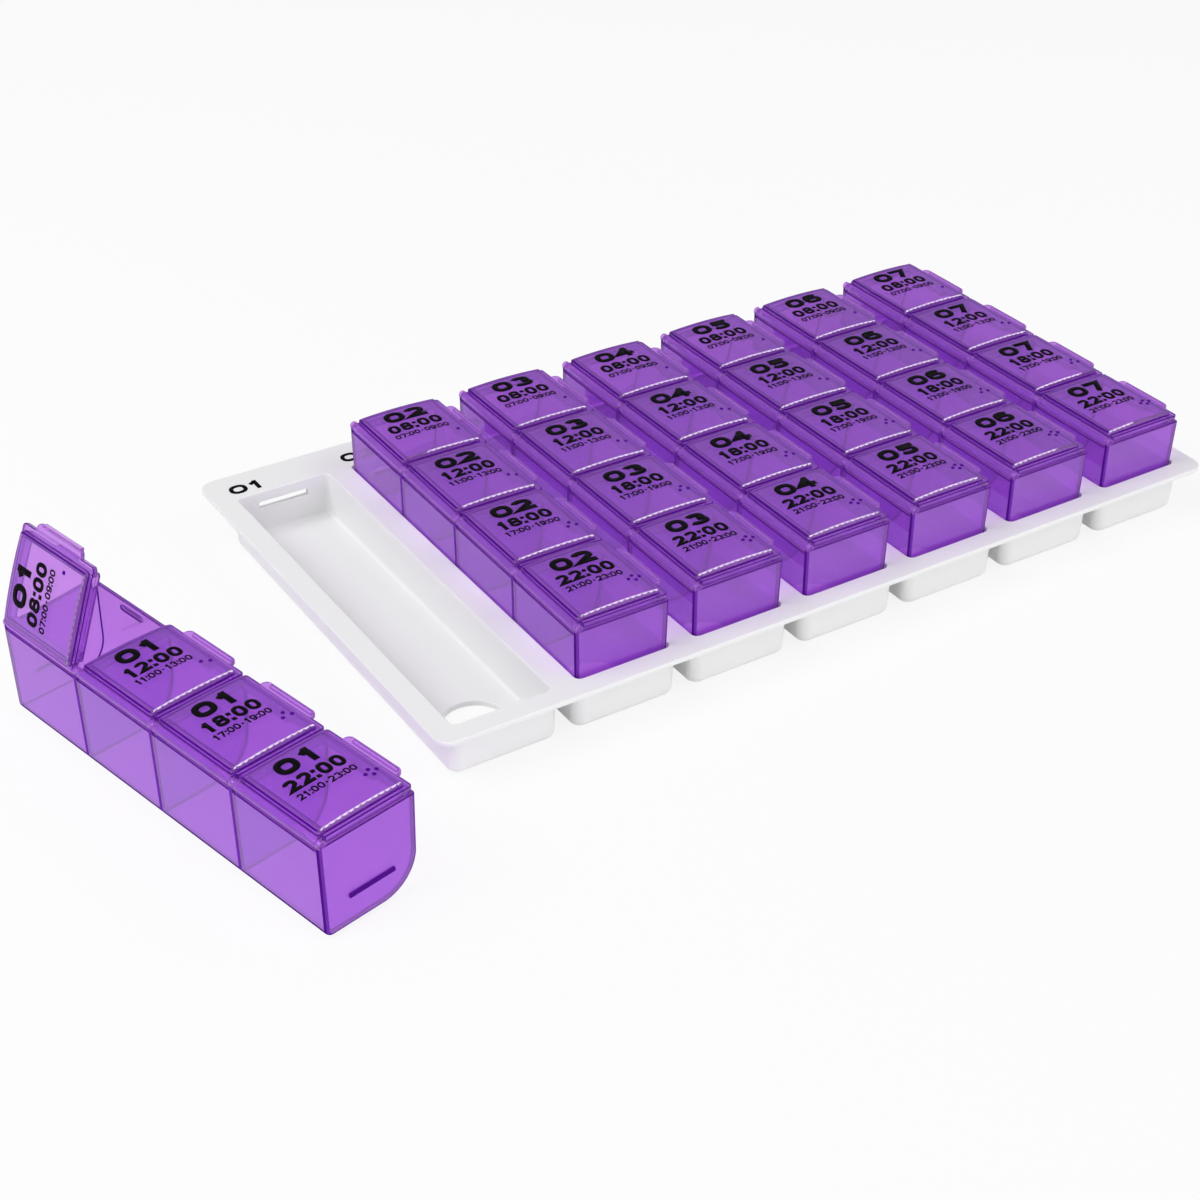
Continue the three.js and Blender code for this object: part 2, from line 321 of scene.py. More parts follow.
def make_outside():
    half = BOX_LENGTH / 2
    box = trough_block("box", 0, 0, BOX_HEIGHT, -half, half)
    # The end edges and the lower left corner get the painted edge shade, the corners that turn to
    # the ends the painted depth shade.
    round_edges(box, lambda m, d: half - abs(m.y) < HAIR and m.z < BOX_HEIGHT - HAIR,
                END_RADIUS, segments=6, slot=EDGE_SHADE_SLOT)
    use_slot(box, DEPTH_SHADE_AND_POLISH_SLOT, lambda m, n: abs(n.z) < 0.3 and 0.75 < abs(n.y) < 0.999)
    use_slot(box, EDGE_SHADE_SLOT, lambda m, n: abs(n.y) < 0.1 and n.x < 0 and -0.75 < n.z < -0.1)
    return box


box_model = make_outside()
print("outside faces", len(box_model.data.polygons))

# %% [markdown]
# Each compartment is a hollow, with a notch in the left wall for the hinge of its lid, and a
# slit in the right wall that the lid snaps into.
#
# Seen from the side, a partition is as deep as the box is wide, and shows as a dark upright
# line. Two slices mark out the strip of wall at its end, so that the strip can carry a painted
# shade for that dark line.

# %% Compartments and partitions
NOTCH_WIDTH = 2.2 * MM
SLIT_HALF = 4 * MM
SLIT_LOW, SLIT_HIGH = 21.55 * MM, 22.65 * MM
STRIP_INSET = 0.05 * MM


def cut_compartment(box, middle):
    front, back = middle - COMPARTMENT / 2, middle + COMPARTMENT / 2
    left, right = -BOX_TOP_WIDTH / 2, BOX_TOP_WIDTH / 2
    cut(box, trough_block("hollow", BOX_WALL, BOX_FLOOR, BOX_HEIGHT + MM, front, back))
    cut(box, block("notch", (left - MM, front, HINGE_Z - HINGE_RADIUS - GAP),
                   (left + NOTCH_WIDTH, back, BOX_HEIGHT + 2 * MM)))
    slit = block("slit", (right - 3 * MM, middle - SLIT_HALF, SLIT_LOW),
                 (right + MM, middle + SLIT_HALF, SLIT_HIGH))
    round_edges(slit, lambda m, d: abs(d.x) > 0.9, radius=0.35 * MM, segments=3)
    cut(box, slit)


def paint_partition_shade(box, middle):
    front = middle - 0.5 * PARTITION + STRIP_INSET
    back = middle + 0.5 * PARTITION - STRIP_INSET
    for y in (front, back):
        slice_faces(box, lambda m, n: abs(n.y) < 0.5, (0, y, 0), (0, 1, 0))
    # The strip at the end of the partition gets the painted depth shade.
    use_slot(box, DEPTH_SHADE_AND_POLISH_SLOT, lambda m, n: (
        front < m.y < back and abs(n.y) < 0.5 and n.z < 0.5
        and abs(m.x) > 0.4 * BOX_BOTTOM_WIDTH))


for time in range(len(TIMES)):
    cut_compartment(box_model, compartment_y(time))
soften(box_model, radius=0.2 * MM, segments=2)
for time in range(len(TIMES) - 1):
    paint_partition_shade(box_model, (compartment_y(time) + compartment_y(time + 1)) / 2)
print("box faces", len(box_model.data.polygons))

# %% [markdown]
# The lids turn in ears, which are round lugs on the left wall at both ends of each notch, with
# one bore through them all. On each end of the box a low bar snaps into a slot of the tray.
# The ears and bars join the box after its edges are softened, because a bevel runs best over
# plain corners.

# %% Ears, bores and snap bars
EAR_INSET = 0.1 * MM
EAR_OVERLAP = 0.12 * MM
BAR_HALF = 6.2 * MM
BAR_LOW, BAR_MIDDLE, BAR_HIGH = 7.25 * MM, 8 * MM, 8.75 * MM
BAR_ROOT, BAR_TIP = 0.5 * MM, 0.6 * MM


def make_ear(line):
    front, back = -BOX_LENGTH / 2 + EAR_INSET, BOX_LENGTH / 2 - EAR_INSET
    if line > 0:
        front = compartment_y(line - 1) + COMPARTMENT / 2 - EAR_OVERLAP
    if line < len(TIMES):
        back = compartment_y(line) - COMPARTMENT / 2 + EAR_OVERLAP
    middle = (HINGE_X, (front + back) / 2, HINGE_Z)
    ear = rod("ear", middle, HINGE_RADIUS, back - front, sides=32)
    round_edges(ear, at_rod_end, radius=0.12 * MM, segments=2)
    return ear


def make_bar(end):
    face = end * BOX_LENGTH / 2
    root, tip = face - end * BAR_ROOT, face + end * BAR_TIP
    bar = block("bar", (-BAR_HALF, min(root, tip), BAR_LOW),
                (BAR_HALF, max(root, tip), BAR_HIGH))
    shrink_faces(bar, lambda m, n: n.y * end > 0.5, (0.98, 1, 0.5), (0, tip, BAR_MIDDLE))
    round_edges(bar, lambda m, d: abs(m.y - tip) < HAIR, radius=0.15 * MM, segments=2)
    # The whole bar carries the painted edge shade, for the dark line it shows.
    return use_slot(bar, EDGE_SHADE_SLOT)


for line in range(len(TIMES) + 1):
    add(box_model, make_ear(line))
cut(box_model, rod("bore", (HINGE_X, 0, HINGE_Z), PIN_RADIUS + GAP, BOX_LENGTH + MM, sides=24))
for end in (-1, 1):
    add(box_model, make_bar(end))
finish_shading(box_model)
print("box faces", len(box_model.data.polygons))

# %% [markdown]
# ## The lid
#
# The lid is closed here, with the hinge axis through the origin. A plate covers the
# compartment, and a plateau on it carries the print. The plateau is crowned: it rises a
# little towards its middle line. Sliced into rows, each lifted to its height, a block takes
# that curve, which a bend would give only in a window. The chamfer at the front catches the
# light and keeps a slot of its own, for a polish.

# %% The plateau
PLATE_MIDDLE = (FLANGE_TOP + FLANGE_BOTTOM) / 2
PLATEAU_LEFT, PLATEAU_RIGHT = 0.6 * MM, LID_REACH - 1.7 * MM
PLATEAU_TOP = FLANGE_TOP + 1.2 * MM
PLATEAU_HALF = PITCH / 2 - 1.4 * MM
CROWN = 0.45 * MM
CROWN_ROWS = 14


def crown_height(x):
    share = (2 * x - PLATEAU_LEFT - PLATEAU_RIGHT) / (PLATEAU_RIGHT - PLATEAU_LEFT)
    return CROWN * (1 - share * share)


def on_plateau_rim(m, d):
    at_end = PLATEAU_HALF - abs(m.y) < HAIR
    at_side = m.x < PLATEAU_LEFT + HAIR or m.x > PLATEAU_RIGHT - HAIR
    return m.z > PLATEAU_TOP - HAIR and (at_end or at_side)


def make_plateau():
    piece = block("plateau", (PLATEAU_LEFT, -PLATEAU_HALF, PLATE_MIDDLE),
                  (PLATEAU_RIGHT, PLATEAU_HALF, PLATEAU_TOP))
    width = PLATEAU_RIGHT - PLATEAU_LEFT
    rows = [PLATEAU_LEFT + width * row / CROWN_ROWS for row in range(1, CROWN_ROWS)]
    for x in rows:
        slice_faces(piece, lambda m, n: True, (x, 0, 0), (1, 0, 0))
    for x in rows:
        pick_edges(piece, lambda m, d: (
            abs(m.x - x) < HAIR and m.z > PLATEAU_TOP - HAIR and along_y(d)))
        bpy.ops.transform.translate(value=(0, 0, crown_height(x)))
        bpy.ops.object.mode_set(mode="OBJECT")
    # The chamfer round the top gets the painted edge shade; at the front it then takes the polish
    # slot, at the back the clear one.
    round_edges(piece, on_plateau_rim, radius=0.3 * MM, segments=1, slot=EDGE_SHADE_SLOT)
    use_slot(piece, DEPTH_SHADE_AND_POLISH_SLOT, lambda m, n: n.y < -0.5 and n.z > 0.5)
    use_slot(piece, CLEAR_SLOT, lambda m, n: n.y > 0.5 and n.z > 0.5)
    round_edges(piece, lambda m, d: along_z(d) and PLATEAU_HALF - abs(m.y) < HAIR,
                radius=0.5 * MM, segments=3)
    return piece


plateau_model = make_plateau()
print("plateau faces", len(plateau_model.data.polygons))

# %% [markdown]
# Under the plate a skirt reaches into the box, which keeps the lid in place and dust out. The
# skirt is a ring, so it is a block with a smaller block cut out of it. Two corners at the
# hinge are cut away, to leave room for the ears of the box.

# %% Plate and skirt
PLATE_HALF = PITCH / 2 - 0.25 * MM
SKIRT_LEFT, SKIRT_RIGHT = HINGE_RADIUS + GAP, LID_REACH - 1.8 * MM
SKIRT_HALF = COMPARTMENT / 2 - 0.35 * MM
SKIRT_BOTTOM = FLANGE_BOTTOM - 1.6 * MM
SKIRT_WALL = 0.9 * MM
BARREL_HALF = COMPARTMENT / 2 - GAP


def make_plate(plateau):
    lid = block("lid", (0, -PLATE_HALF, FLANGE_BOTTOM), (LID_REACH, PLATE_HALF, FLANGE_TOP))
    round_edges(lid, lambda m, d: along_z(d) and m.x > 0.5 * LID_REACH,
                radius=1.0 * MM, segments=5)
    add(lid, plateau)
    return lid


def add_skirt(lid):
    skirt = block("skirt", (SKIRT_LEFT, -SKIRT_HALF, SKIRT_BOTTOM),
                  (SKIRT_RIGHT, SKIRT_HALF, PLATE_MIDDLE))
    round_edges(skirt, upright, radius=0.8 * MM, segments=4)
    add(lid, skirt)
    hollow = block("hollow",
                   (SKIRT_LEFT + SKIRT_WALL, -SKIRT_HALF + SKIRT_WALL, SKIRT_BOTTOM - MM),
                   (SKIRT_RIGHT - SKIRT_WALL, SKIRT_HALF - SKIRT_WALL, FLANGE_TOP + 0.1 * MM))
    round_edges(hollow, upright, radius=0.5 * MM, segments=4)
    cut(lid, hollow)


def cut_ear_room(lid, end):
    inner, outer = end * BARREL_HALF, end * (PITCH / 2 + MM)
    cut(lid, block("ear_room", (-2 * MM, min(inner, outer), -3 * MM),
                   (HINGE_RADIUS + GAP, max(inner, outer), FLANGE_TOP + GAP)))


lid_model = make_plate(plateau_model)
add_skirt(lid_model)
for end in (-1, 1):
    cut_ear_room(lid_model, end)
soften(lid_model, radius=0.18 * MM, segments=2, angle=50)
print("lid faces", len(lid_model.data.polygons))

# %% [markdown]
# At the left edge a barrel with two pins turns in the ears of the box. At the right edge there
# is a tab for the finger, with a lip turned down at its end.


# %% Barrel and pins
def add_barrel(lid):
    barrel = rod("barrel", (0, 0, 0), HINGE_RADIUS, 2 * BARREL_HALF, sides=32)
    round_edges(barrel, at_rod_end, radius=0.2 * MM, segments=2)
    add(lid, barrel)
    pins = rod("pins", (0, 0, 0), PIN_RADIUS, PITCH - GAP, sides=16)
    round_edges(pins, at_rod_end, radius=0.12 * MM, segments=2)
    add(lid, pins)


add_barrel(lid_model)
print("lid faces with the barrel", len(lid_model.data.polygons))

# %% Finger tab
TAB_START, TAB_END = LID_REACH - 1.5 * MM, LID_REACH + 2 * MM
TAB_BOTTOM, TAB_TOP = FLANGE_TOP - 0.9 * MM, FLANGE_TOP - 0.02 * MM
TAB_HALF = 8.75 * MM
LIP_BOTTOM, LIP_TOP = FLANGE_TOP - 1.9 * MM, FLANGE_TOP - 0.45 * MM
LIP_HALF = 7.1 * MM
LIP_WALL = 0.85 * MM


def add_tab(lid):
    tab = block("tab", (TAB_START, -TAB_HALF, TAB_BOTTOM), (TAB_END, TAB_HALF, TAB_TOP))
    round_edges(tab, lambda m, d: along_z(d) and m.x > LID_REACH, radius=1.6 * MM, segments=6)
    round_edges(tab, lambda m, d: m.z > TAB_TOP - HAIR and m.x > LID_REACH - MM,
                radius=0.25 * MM, segments=3)
    add(lid, tab)
    lip = block("lip", (TAB_END - LIP_WALL, -LIP_HALF, LIP_BOTTOM),
                (TAB_END - HAIR, LIP_HALF, LIP_TOP))
    round_edges(lip, lambda m, d: m.z < LIP_BOTTOM + HAIR, radius=0.3 * MM, segments=3)
    add(lid, lip)


add_tab(lid_model)
print("tab reaches", round((TAB_END - LID_REACH) / MM, 2), "mm past the lid")

# %% [markdown]
# Behind the tab hangs a tongue that can bend, with a round bead across its outer face. The
# bead snaps into the slit of the box and holds the lid shut.

# %% Catch tongue and bead
BEAD_Z = FLANGE_BOTTOM - GAP - 2.2 * MM
BEAD_RADIUS = 0.45 * MM
BEAD_LENGTH = 6.8 * MM
BEAD_INSET = 0.1 * MM
TONGUE_LEFT, TONGUE_RIGHT = SKIRT_RIGHT - 0.88 * MM, SKIRT_RIGHT - 0.02 * MM
TONGUE_BOTTOM = BEAD_Z - 0.7 * MM
TONGUE_HALF = 3.5 * MM


def add_catch(lid):
    tongue = block("tongue", (TONGUE_LEFT, -TONGUE_HALF, TONGUE_BOTTOM),
                   (TONGUE_RIGHT, TONGUE_HALF, 0))
    round_edges(tongue, lambda m, d: m.z < TONGUE_BOTTOM + HAIR, radius=0.2 * MM, segments=2)
    add(lid, tongue)
    bead = rod("bead", (SKIRT_RIGHT - BEAD_INSET, 0, BEAD_Z), BEAD_RADIUS, BEAD_LENGTH,
               sides=16)
    round_edges(bead, at_rod_end, radius=0.15 * MM, segments=2)
    add(lid, bead)


add_catch(lid_model)
finish_shading(lid_model)
print("lid faces with tab and catch", len(lid_model.data.polygons))

# %% [markdown]
# ## The tray
#
# The tray is one thin rim with seven bins under it. Each bin is a rounded block, and its
# pocket is a smaller one cut out of it, with the finger hole and the two slots for the snap
# bars. The rim gets a small round on every edge at the end.

# %% Bins
BIN_WALL = 1.4 * MM
BIN_RADIUS, BIN_BOTTOM_RADIUS = 3 * MM, 2 * MM
BIN_TOP = TRAY_HEIGHT - 0.4 * MM


def tub(name, width, length, radius, bottom_radius, floor, top, x):
    lean = 2 * DRAFT * (TRAY_HEIGHT - floor)
    up = 2 * DRAFT * (top - TRAY_HEIGHT)
    half_x, half_y = (width + up) / 2, (length + up) / 2
    piece = block(name, (-half_x, -half_y, floor), (half_x, half_y, top))
    shrink_faces(piece, lambda m, n: n.z < -0.5,
                 ((width - lean) / (2 * half_x), (length - lean) / (2 * half_y), 1), (0, 0, 0))
    round_edges(piece, upright, radius, segments=8)
    round_edges(piece, lambda m, d: m.z < floor + HAIR, bottom_radius, segments=5)
    piece.data.transform(Matrix.Translation((x, 0, 0)))
    return piece


def make_bin(x):
    return tub("bin", POCKET_WIDTH + 2 * BIN_WALL, POCKET_LENGTH + 2 * BIN_WALL,
               BIN_RADIUS, BIN_BOTTOM_RADIUS, 0, BIN_TOP, x)


print("bin", round((POCKET_WIDTH + 2 * BIN_WALL) / MM, 2), "mm wide")

# %% Rim and pockets
RIM_THICKNESS = 1.3 * MM
RIM_SIDE, RIM_FRONT, RIM_BACK = 6.1 * MM, 5.7 * MM, 12.1 * MM
RIM_CORNER = 4.2 * MM
POCKET_RADIUS, POCKET_BOTTOM_RADIUS = 1.6 * MM, 1.0 * MM
HOLE_RADIUS = 7.75 * MM
HOLE_Y = -POCKET_LENGTH / 2 + 13.2 * MM
SLOT_HALF = 7 * MM
SLOT_DEPTH = 3 * MM
SLOT_LOW, SLOT_HIGH = 9 * MM, 10.8 * MM


def make_rim():
    half = pocket_x(len(DAYS) - 1) + POCKET_WIDTH / 2 + RIM_SIDE
    front, back = -POCKET_LENGTH / 2 - RIM_FRONT, POCKET_LENGTH / 2 + RIM_BACK
    rim = block("tray_body", (-half, front, TRAY_HEIGHT - RIM_THICKNESS),
                (half, back, TRAY_HEIGHT))
    round_edges(rim, upright, RIM_CORNER, segments=12)
    return rim


def cut_pocket(rim, x):
    cut(rim, tub("pocket", POCKET_WIDTH, POCKET_LENGTH, POCKET_RADIUS, POCKET_BOTTOM_RADIUS,
                 TRAY_FLOOR, TRAY_HEIGHT + MM, x))
    cut(rim, rod("hole", (x, HOLE_Y, 0), HOLE_RADIUS, 6 * MM, sides=48, turn=ALONG_Z))
    for end in (-1, 1):
        y = end * POCKET_LENGTH / 2
        slot = block("slot", (x - SLOT_HALF, y - SLOT_DEPTH, SLOT_LOW),
                     (x + SLOT_HALF, y + SLOT_DEPTH, SLOT_HIGH))
        round_edges(slot, lambda m, d: along_y(d), radius=0.4 * MM, segments=3)
        cut(rim, slot)


tray = make_rim()
for day in range(len(DAYS)):
    add(tray, make_bin(pocket_x(day)))
for day in range(len(DAYS)):
    cut_pocket(tray, pocket_x(day))
soften(tray, radius=0.3 * MM, segments=3, angle=45)
finish_shading(tray)
print("tray faces", len(tray.data.polygons))

# %% [markdown]
# ## The places
#
# The box and the lid are copied to each day and time. A copy keeps its own mesh, and its place
# goes into the mesh, so that the object itself stays at the origin. The first box stands
# beside the tray, a little turned, and its last lid is open.

# %% Where a box and a lid go
FIRST_BOX_CORNER = Vector((48.9 * MM, 34.1 * MM))
FIRST_BOX_TURN = math.radians(13.35)
OPEN_LID = math.radians(69)


def box_place(day):
    if day > 0:
        return Matrix.Translation((pocket_x(day), 0, POCKET_BASE))
    turn = Matrix.Rotation(FIRST_BOX_TURN, 4, "Z")
    corner = Vector((pocket_x(0) - POCKET_WIDTH / 2 - FIRST_BOX_CORNER.x,
                     -POCKET_LENGTH / 2 - FIRST_BOX_CORNER.y, 0))
    centre = corner + turn @ Vector((BOX_BOTTOM_WIDTH / 2, BOX_LENGTH / 2, 0))
    return Matrix.Translation(centre) @ turn


def lid_place(day, time):
    place = box_place(day) @ Matrix.Translation((HINGE_X, compartment_y(time), HINGE_Z))
    if day == 0 and TIMES[time] == "morning":
        place = place @ Matrix.Rotation(-OPEN_LID, 4, "Y")
    return place


print("first box at", [round(v / MM, 1) for v in box_place(0).to_translation()], "mm")


# %% Copies for each day
def copy_of(piece, name, place):
    twin = piece.copy()
    twin.data = piece.data.copy()
    twin.name = name
    twin.data.transform(place)
    bpy.context.collection.objects.link(twin)
    return twin


boxes, lids = {}, {}
for day, day_name in enumerate(DAYS):
    boxes[day] = copy_of(box_model, f"{day_name}_box_body", box_place(day))
    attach(boxes[day], f"{day_name}_box")
    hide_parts(f"{day_name}_box")
    for time, time_name in enumerate(TIMES):
        name = f"{day_name}_{time_name}_lid"
        lids[day, time] = copy_of(lid_model, f"{name}_body", lid_place(day, time))
        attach(lids[day, time], name)
        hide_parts(name)
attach(tray, "tray")
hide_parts("tray")
print("copies", len(boxes), len(lids))

# %% [markdown]
# ## The print
#
# The organizer needs numbers to be used: the day, then the hour, then the span of hours. They
# are plain bold digits. A digit is drawn as a pen would draw it: a few strokes in a square from
# 0 to 1, straight or along an oval, whose fullness makes it squarer than an ellipse. A text
# object would be quicker, but brings the letters of somebody's font.

# %% Strokes of the digits
FULLNESS = 2.5


def bulge(value):
    return math.copysign(abs(value) ** (2 / FULLNESS), value)


def bow(x, y, wide, high, start, end, steps=14):
    turns = [math.radians(start + (end - start) * step / steps) for step in range(steps + 1)]
    return [(x + wide * bulge(math.cos(turn)), y + high * bulge(math.sin(turn))) for turn in turns]


def upside_down(strokes):
    return [[(1 - x, 1 - y) for x, y in stroke] for stroke in strokes]


SIX = [bow(0.5, 0.31, 0.5, 0.31, 0, 360, steps=28),
       bow(0.54, 0.5, 0.54, 0.5, 42, 180) + [(0, 0.31)]]
DIGIT_STROKES = {
    "0": [bow(0.5, 0.5, 0.5, 0.5, 0, 360, steps=32)],
    "1": [[(0.6, 0), (0.6, 1)], [(0.6, 1), (0.08, 0.7)]],
    "2": [bow(0.5, 0.71, 0.47, 0.29, 172, -28) + [(0.06, 0), (1, 0)]],
    "3": [bow(0.47, 0.76, 0.45, 0.24, 165, -90), bow(0.47, 0.26, 0.53, 0.26, 90, -165)],
    "4": [[(0.74, 0), (0.74, 1)], [(0.74, 1), (0, 0.28), (1, 0.28)]],
    "5": [[(1, 1), (0.16, 1), (0.07, 0.5)], bow(0.47, 0.32, 0.53, 0.32, 142, -160)],
    "6": SIX,
    "7": [[(0, 1), (0.96, 1), (0.36, 0)]],
    "8": [bow(0.5, 0.76, 0.43, 0.24, 0, 360, steps=28),
          bow(0.5, 0.26, 0.5, 0.26, 0, 360, steps=28)],
    "9": upside_down(SIX),
    ":": [[(0, 0), (0, 0.18)], [(0, 0.57), (0, 0.93)]],
    "-": [[(0.1, 0.47), (0.9, 0.47)]],
}
NARROW_SHARES = {":": 0, "1": 0.8, "-": 0.7}
print("signs", len(DIGIT_STROKES))

# %% [markdown]
# The strokes of a line of digits become one curve, which is made a mesh, and the Solidify
# modifier gives it the width of the pen. That line stays half a pen inside the square. Where a
# stroke ends at the border, its end is moved out by that half, so that all ends are flush. The
# spacing is the step from one digit to the next, in widths of the pen.

# %% Lines of digits
SPACING = 1.36
INK_THICKNESS = 0.04 * MM


def is_loop(stroke):
    return math.dist(stroke[0], stroke[-1]) < 0.001


def pen_point(stroke, index, width, height, pen):
    u, v = stroke[index]
    x, y = width * u, pen / 2 + (height - pen) * v
    if index in (0, len(stroke) - 1) and not is_loop(stroke):
        near_u, near_v = stroke[1 if index == 0 else index - 1]
        steep = abs(near_v - v) * (height - pen) > abs(near_u - u) * width
        if steep and v in (0, 1):
            y = height * v
        elif not steep and u in (0, 1):
            x += pen * (u - 0.5)
    return x, y


def add_stroke(drawing, stroke, start, width, height, pen):
    points = stroke[:-1] if is_loop(stroke) else stroke
    spline = drawing.splines.new("POLY")
    spline.points.add(len(points) - 1)
    spline.use_cyclic_u = is_loop(stroke)
    for index, point in enumerate(spline.points):
        across, up = pen_point(stroke, index, width, height, pen)
        point.co = (start + across, up, INK_THICKNESS / 2, 1)


def number_mesh(words, height, wide, pen):
    drawing = bpy.data.curves.new("strokes", "CURVE")
    drawing.dimensions = "3D"
    drawing.extrude = INK_THICKNESS / 2
    x = 0
    for sign in words:
        width = (wide - pen) * NARROW_SHARES.get(sign, 1)
        for stroke in DIGIT_STROKES[sign]:
            add_stroke(drawing, stroke, x, width, height, pen)
        x += width + SPACING * pen
    piece = bpy.data.objects.new("line", drawing)
    bpy.context.collection.objects.link(piece)
    make_active(piece)
    bpy.ops.object.convert(target="MESH")
    piece = bpy.context.object
    step = piece.modifiers.new("pen", "SOLIDIFY")
    step.thickness = pen
    step.offset = 0
    step.use_even_offset = True
    bpy.ops.object.modifier_apply(modifier=step.name)
    piece.data.transform(Matrix.Translation((-(x - SPACING * pen) / 2, 0, 0)))
    return piece


def join(pieces, name):
    make_active(pieces[0])
    for piece in pieces[1:]:
        piece.select_set(True)
    if len(pieces) > 1:
        bpy.ops.object.join()
    pieces[0].name = name
    return pieces[0]


print("ink", INK_THICKNESS / MM, "mm thick")

# %% [markdown]
# A lid carries three lines. A line is given by its height, the width of a digit, the width of
# the pen and its place. The ink is drawn flat, and then each of its points is lifted to the
# crown of the lid. A Shrinkwrap modifier could do that too, but would flatten the ink.

# %% Numbers on the lids
HOURS = ["22:00", "18:00", "12:00", "08:00"]
SPANS = ["21:00-23:00", "17:00-19:00", "11:00-13:00", "07:00-09:00"]
DAY_LINE = (5.2 * MM, 5.6 * MM, 1.6 * MM, 5.2 * MM)
HOUR_LINE = (4.0 * MM, 3.2 * MM, 1.05 * MM, 0)
SPAN_LINE = (2.0 * MM, 1.5 * MM, 0.42 * MM, -3.0 * MM)


def lid_print(day, time):
    middle = (PLATEAU_LEFT + PLATEAU_RIGHT) / 2
    lines = [(f"0{day + 1}", DAY_LINE), (HOURS[time], HOUR_LINE), (SPANS[time], SPAN_LINE)]
    made = []
    for words, (height, wide, pen, y) in lines:
        piece = number_mesh(words, height, wide, pen)
        piece.data.transform(Matrix.Translation((middle, y, 0)))
        made.append(piece)
    piece = join(made, f"{DAYS[day]}_{TIMES[time]}_print")
    for vertex in piece.data.vertices:
        vertex.co.z += PLATEAU_TOP + crown_height(vertex.co.x) + HAIR
    piece.data.transform(lid_place(day, time))
    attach(piece, f"{DAYS[day]}_{TIMES[time]}_lid")
    return piece


prints = [lid_print(day, time) for day in range(len(DAYS)) for time in range(len(TIMES))]
print("prints", len(prints))

# %% [markdown]
# Next to the print, small raised dots tell the times apart by touch: one for the morning, up to
# four for the bedtime. A dot is a low dome, half sunk into the lid. It is a flattened sphere,
# because a modelled dome would have a rim that nobody sees.

# %% Dots for the fingertip
DOT_PLACES = {1: [(0, 0)], 2: [(-0.9, 0.5), (0.9, -0.5)], 3: [(-1.2, -0.7), (0, 0.9), (1.2, -0.7)],
              4: [(-1.5, 0), (0, 1), (0, -1), (1.5, 0)]}
DOTS_X, DOTS_Y = 20.5 * MM, -5.7 * MM
DOT_RADIUS = 0.5 * MM
DOT_FLATNESS = 0.6


def touch_dots(day, time):
    made = []
    for across, along in DOT_PLACES[len(TIMES) - time]:
        x, y = DOTS_X + across * MM, DOTS_Y + along * MM
        deselect()
        bpy.ops.mesh.primitive_uv_sphere_add(
            segments=16, ring_count=8, radius=DOT_RADIUS,
            location=(x, y, PLATEAU_TOP + crown_height(x)), scale=(1, 1, DOT_FLATNESS))
        made.append(started("dot"))
        bpy.ops.object.shade_smooth()
    piece = join(made, f"{DAYS[day]}_{TIMES[time]}_dots")
    piece.data.transform(lid_place(day, time))
    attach(piece, f"{DAYS[day]}_{TIMES[time]}_lid")
    return piece


dots = [touch_dots(day, time) for day in range(len(DAYS)) for time in range(len(TIMES))]
print("dots", len(dots))

# %% [markdown]
# The rim of the tray carries the number of the day behind each pocket, so that a box goes back
# to its own place. After that, the box and the lid that were copied are no longer needed.

# %% Numbers on the rim
RIM_NUMBER_X, RIM_NUMBER_Y = 4.6 * MM, 2.2 * MM

for day, day_name in enumerate(DAYS):
    piece = number_mesh(f"0{day + 1}", height=4.4 * MM, wide=4.9 * MM, pen=1.15 * MM)
    piece.name = f"{day_name}_rim_number"
    left, back = pocket_x(day) - POCKET_WIDTH / 2, POCKET_LENGTH / 2
    piece.data.transform(Matrix.Translation(
        (left + RIM_NUMBER_X, back + RIM_NUMBER_Y, TRAY_HEIGHT + HAIR)))
    prints.append(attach(piece, "tray"))

for model in (box_model, lid_model):
    bpy.data.objects.remove(model)
print("prints with the rim", len(prints))

# %% [markdown]
# ## The materials
#
# No moulded plastic is as even as glass: a fine grain from the mould spreads its gloss. All
# the plastics share that grain, so it is one node group, and each material sets its own scale
# and strength. An image could do the same, but every piece would have to be unwrapped for it.


# %% A grain that all the plastics share
def make_grain():
    group = bpy.data.node_groups.new("plastic_grain", "ShaderNodeTree")
    group.interface.new_socket("Place", in_out="INPUT", socket_type="NodeSocketVector")
    for name in ("Scale", "Detail", "Smoothest", "Roughest", "Height"):
        group.interface.new_socket(name, in_out="INPUT", socket_type="NodeSocketFloat")
    group.interface.new_socket("Roughness", in_out="OUTPUT", socket_type="NodeSocketFloat")
    group.interface.new_socket("Normal", in_out="OUTPUT", socket_type="NodeSocketVector")
    nodes, links = group.nodes, group.links
    given, result = nodes.new("NodeGroupInput"), nodes.new("NodeGroupOutput")
    noise = nodes.new("ShaderNodeTexNoise")
    spread = nodes.new("ShaderNodeMapRange")
    bump = nodes.new("ShaderNodeBump")
    bump.inputs["Strength"].default_value = 0.5
    links.new(given.outputs["Place"], noise.inputs["Vector"])
    links.new(given.outputs["Scale"], noise.inputs["Scale"])
    links.new(given.outputs["Detail"], noise.inputs["Detail"])
    links.new(given.outputs["Smoothest"], spread.inputs["To Min"])
    links.new(given.outputs["Roughest"], spread.inputs["To Max"])
    links.new(given.outputs["Height"], bump.inputs["Distance"])
    links.new(noise.outputs["Fac"], spread.inputs["Value"])
    links.new(noise.outputs["Fac"], bump.inputs["Height"])
    links.new(spread.outputs["Result"], result.inputs["Roughness"])
    links.new(bump.outputs["Normal"], result.inputs["Normal"])
    return group


PLASTIC_GRAIN = make_grain()
print("grain sockets", len(PLASTIC_GRAIN.interface.items_tree))


